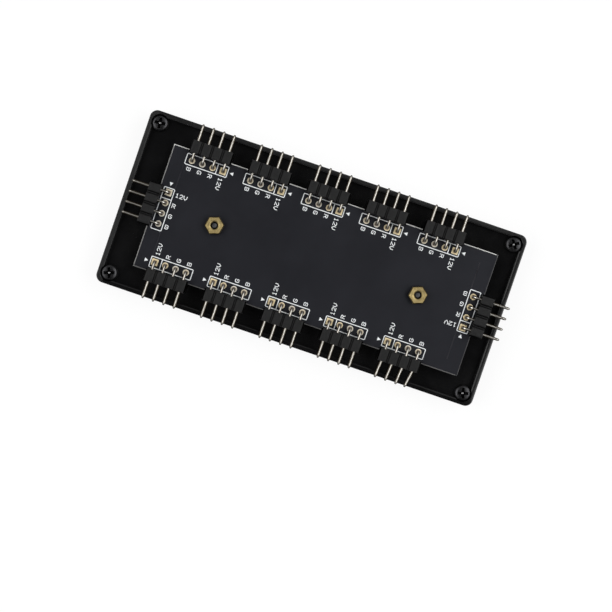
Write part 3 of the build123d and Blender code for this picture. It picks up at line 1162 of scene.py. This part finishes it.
class HUB_OT_board_fasteners(bpy.types.Operator):
    """Put detailed nuts on the board and the screws that come up into them"""

    bl_idname = "hub.board_fasteners"
    bl_label = "Board Screws and Nuts"

    head_diameter: length("Head diameter", "Across a board screw's head", 3.9)
    head_height: length("Head height", "Height of a board screw's head", 1.3)
    thread_diameter: length("Thread diameter", "Across a board screw's thread", 2.0)
    across_flats: length("Across flats", "Width of a nut", 4.0)
    bore_diameter: length("Bore diameter", "Across the crests of a nut's thread", 1.66)
    nut_turns: FloatVectorProperty(
        name="Nut turns", description="How far the left and right nuts are turned", size=2,
        default=[math.radians(angle) for angle in (-11.1, -9.5)])

    def execute(self, context):
        fasteners = context.scene.hub_fasteners
        finish = context.scene.hub_finish
        brass = turned_brass(finish)
        steel = fastener_metal("plated_screw", finish.steel, finish.steel, smoothest=0.30, roughest=0.42)
        low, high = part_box("board_screws")
        nut_low, nut_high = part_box("board_nuts")
        radius = self.head_diameter / 2
        seat = low.z + self.head_height
        middle = (low.y + high.y) / 2
        sides = (("left", low.x + radius), ("right", high.x - radius))
        for (side, x), turn in zip(sides, self.nut_turns):
            mesh = bmesh.new()
            screw(mesh, fasteners, radius, self.head_height, self.thread_diameter / 2, high.z - seat)
            # The screw is turned so that its thread runs in the nut's
            thread_turn = turn + 2 * math.pi * ((seat - nut_low.z) / fasteners.thread_pitch - 0.5)
            upward = (Matrix.Translation((x, middle, seat)) @ Matrix.Rotation(thread_turn, 4, "Z")
                      @ Matrix.Rotation(math.pi, 4, "X"))
            piece = make_piece("board_screw_" + side, mesh, steel, upward)
            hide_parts("board_screws")
            mesh = bmesh.new()
            self.nut(mesh, fasteners, nut_high.z - nut_low.z)
            turned = Matrix.Translation((x, middle, nut_low.z)) @ Matrix.Rotation(turn, 4, "Z")
            piece = make_piece("board_nut_" + side, mesh, brass, turned, smooth_angle=20.0)
            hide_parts("board_nuts")
        return {"FINISHED"}

    def nut(self, mesh, fasteners, thickness):
        """Hexagon with turned corners, a dished and countersunk bore and a thread inside."""
        segments = 96
        thread_rings = 24
        flat = self.across_flats / 2
        bore = self.bore_diameter / 2
        sink = fasteners.nut_countersink
        slope = math.tan(fasteners.nut_chamfer)
        edge = fasteners.nut_edge
        face_radius = flat * fasteners.nut_face

        def hexagon(angle):
            within = (angle + math.pi / 6) % (math.pi / 3) - math.pi / 6
            return flat / math.cos(within)

        def face(height):
            return lambda angle: round_place(min(hexagon(angle) - edge, face_radius), height)(angle)

        def side(from_bottom):
            def place(angle):
                reach = hexagon(angle)
                drop = max(edge, reach - face_radius) * slope
                return round_place(reach, drop if from_bottom else thickness - drop)(angle)
            return place

        def thread(height):
            def place(angle):
                return round_place(-thread_radius(-bore, fasteners, angle, height), height)(angle)
            return place

        # The dish eases off outward, so it is steepest at the countersink
        dish = fasteners.nut_dish
        hollow = [(share * dish, dish / 4 * (1 - share) ** 2) for share in (0.0, 0.25, 0.5, 1.0)]
        below = [round_place(bore + sink + width, drop) for width, drop in hollow]
        above = [round_place(bore + sink + width, thickness - drop) for width, drop in reversed(hollow)]
        outside = below + [face(0.0), side(True), side(False), face(thickness)] + above
        inner = sink + hollow[0][1]
        bored = thickness - 2 * inner
        heights = [inner + bored * (1 - step / thread_rings) for step in range(thread_rings + 1)]
        rows = [ring(mesh, segments, place) for place in outside + [thread(height) for height in heights]]
        skin(mesh, rows, closed=True)


class HUB_OT_stage(bpy.types.Operator):
    """Set up the floor, the light and the camera"""

    bl_idname = "hub.stage"
    bl_label = "Stage"

    def execute(self, context):
        stage = context.scene.hub_stage
        self.floor(stage)
        self.studio(stage)
        self.camera(stage)
        context.scene.view_settings.view_transform = "Standard"
        return {"FINISHED"}

    def floor(self, stage):
        """White floor that keeps the hub's shadow."""
        mesh = bmesh.new()
        bmesh.ops.create_grid(mesh, x_segments=1, y_segments=1, size=stage.floor_width / 2)
        data = bpy.data.meshes.new("floor")
        mesh.to_mesh(data)
        mesh.free()
        floor = bpy.data.objects.new("floor", data)
        floor.location.z = CAD_BOX[0].z - stage.floor_gap
        bpy.context.scene.collection.objects.link(floor)
        material = bpy.data.materials.new("white_floor")
        material.use_nodes = True
        tree = material.node_tree
        tree.nodes.clear()
        paint = add(tree, "ShaderNodeBsdfDiffuse", {"Color": lighter(stage.floor_white)}).outputs[0]
        white = {"Color": WHITE, "Strength": stage.floor_strength}
        glow = add(tree, "ShaderNodeEmission", white).outputs[0]
        share = product(tree, self.seen(tree), stage.floor_glow)
        both = add(tree, "ShaderNodeMixShader", {0: share, 1: paint, 2: glow}).outputs[0]
        add(tree, "ShaderNodeOutputMaterial", {"Surface": both})
        data.materials.append(material)

    def seen(self, tree):
        """1 for rays that look at the background, straight or through gloss or glass."""
        path = add(tree, "ShaderNodeLightPath").outputs
        rays = [path[name] for name in ("Is Camera Ray", "Is Glossy Ray", "Is Transmission Ray")]
        return combined(tree, "MAXIMUM", rays)

    def studio(self, stage):
        """Dim surroundings with a wide soft light on either side, dark straight above."""
        world = bpy.data.worlds.new("studio")
        world.use_nodes = True
        bpy.context.scene.world = world
        tree = world.node_tree
        tree.nodes.clear()
        direction = add(tree, "ShaderNodeTexCoord").outputs["Generated"]
        height = parts(tree, direction)["Z"]
        turn = Euler(stage.camera_turn).to_matrix()
        across = reach_along(tree, direction, turn @ Vector((1.0, 0.0, 0.0)))
        along = reach_along(tree, direction, turn @ Vector((0.0, 1.0, 0.0)))
        lamps = total(tree, self.lamp(tree, across, 1.0, stage.right_light),
                      self.lamp(tree, across, -1.0, stage.left_light))
        lamps = product(tree, lamps, spread(tree, absolute(tree, along), *LAMP_TAPER))
        rising = spread(tree, height, *FILL_RISE, stage.horizon, 1.0)
        fading = spread(tree, height, *FILL_FADE, 1.0, stage.overhead)
        shaded = spread(tree, along, *FILL_FRONT, stage.front, 1.0)
        strength = total(tree, lamps, product(tree, rising, fading, shaded, stage.fill))
        light = add(tree, "ShaderNodeBackground", {"Color": WHITE, "Strength": strength}).outputs[0]
        plain = add(tree, "ShaderNodeBackground", {"Color": WHITE, "Strength": 1.0}).outputs[0]
        camera_ray = add(tree, "ShaderNodeLightPath").outputs["Is Camera Ray"]
        both = add(tree, "ShaderNodeMixShader", {0: camera_ray, 1: light, 2: plain}).outputs[0]
        add(tree, "ShaderNodeOutputWorld", {"Surface": both})

    def lamp(self, tree, across, side, strength):
        """Band of light that hangs between the camera and the horizon on one side."""
        reach = product(tree, across, side)
        return product(tree, spread(tree, reach, *LAMP_START), spread(tree, reach, *LAMP_END), strength)

    def camera(self, stage):
        """Camera almost straight above the hub."""
        data = bpy.data.cameras.new("camera")
        data.lens = stage.lens
        data.sensor_width = 36.0
        data.sensor_fit = "HORIZONTAL"
        data.clip_start = 0.01
        camera = bpy.data.objects.new("camera", data)
        camera.location = stage.camera_place
        camera.rotation_euler = Euler(stage.camera_turn)
        bpy.context.scene.collection.objects.link(camera)
        bpy.context.scene.camera = camera


class HUB_PT_dressing(bpy.types.Panel):
    """Sidebar list of the hub's pieces"""

    bl_label = "Lighting Hub"
    bl_idname = "HUB_PT_dressing"
    bl_space_type = "VIEW_3D"
    bl_region_type = "UI"
    bl_category = "Lighting Hub"

    def draw(self, context):
        for operator in OPERATORS:
            self.layout.operator(operator.bl_idname)


SETTINGS = {
    "hub_finish": HubFinishSettings,
    "hub_print": HubPrintSettings,
    "hub_solder": HubSolderSettings,
    "hub_pins": HubPinSettings,
    "hub_fasteners": HubFastenerSettings,
    "hub_stage": HubStageSettings,
}
OPERATORS = (
    HUB_OT_case,
    HUB_OT_board,
    HUB_OT_tracks,
    HUB_OT_print,
    HUB_OT_pads,
    HUB_OT_solder,
    HUB_OT_housings,
    HUB_OT_pins,
    HUB_OT_corner_screws,
    HUB_OT_board_fasteners,
    HUB_OT_stage,
)


def register():
    """Add the settings, the operators and the panel to Blender."""
    for name, group in SETTINGS.items():
        bpy.utils.register_class(group)
        setattr(bpy.types.Scene, name, PointerProperty(type=group))
    for operator in OPERATORS:
        bpy.utils.register_class(operator)
    bpy.utils.register_class(HUB_PT_dressing)


def unregister():
    """Take the panel, the operators and the settings out again."""
    bpy.utils.unregister_class(HUB_PT_dressing)
    for operator in reversed(OPERATORS):
        bpy.utils.unregister_class(operator)
    for name, group in SETTINGS.items():
        delattr(bpy.types.Scene, name)
        bpy.utils.unregister_class(group)


def main():
    """Dress the hub piece by piece."""
    register()
    bpy.ops.hub.case()
    bpy.ops.hub.board()
    bpy.ops.hub.tracks()
    bpy.ops.hub.print()
    bpy.ops.hub.pads()
    bpy.ops.hub.solder()
    bpy.ops.hub.housings()
    bpy.ops.hub.pins()
    bpy.ops.hub.corner_screws()
    bpy.ops.hub.board_fasteners()
    bpy.ops.hub.stage()


if __name__ == "__main__":
    main()
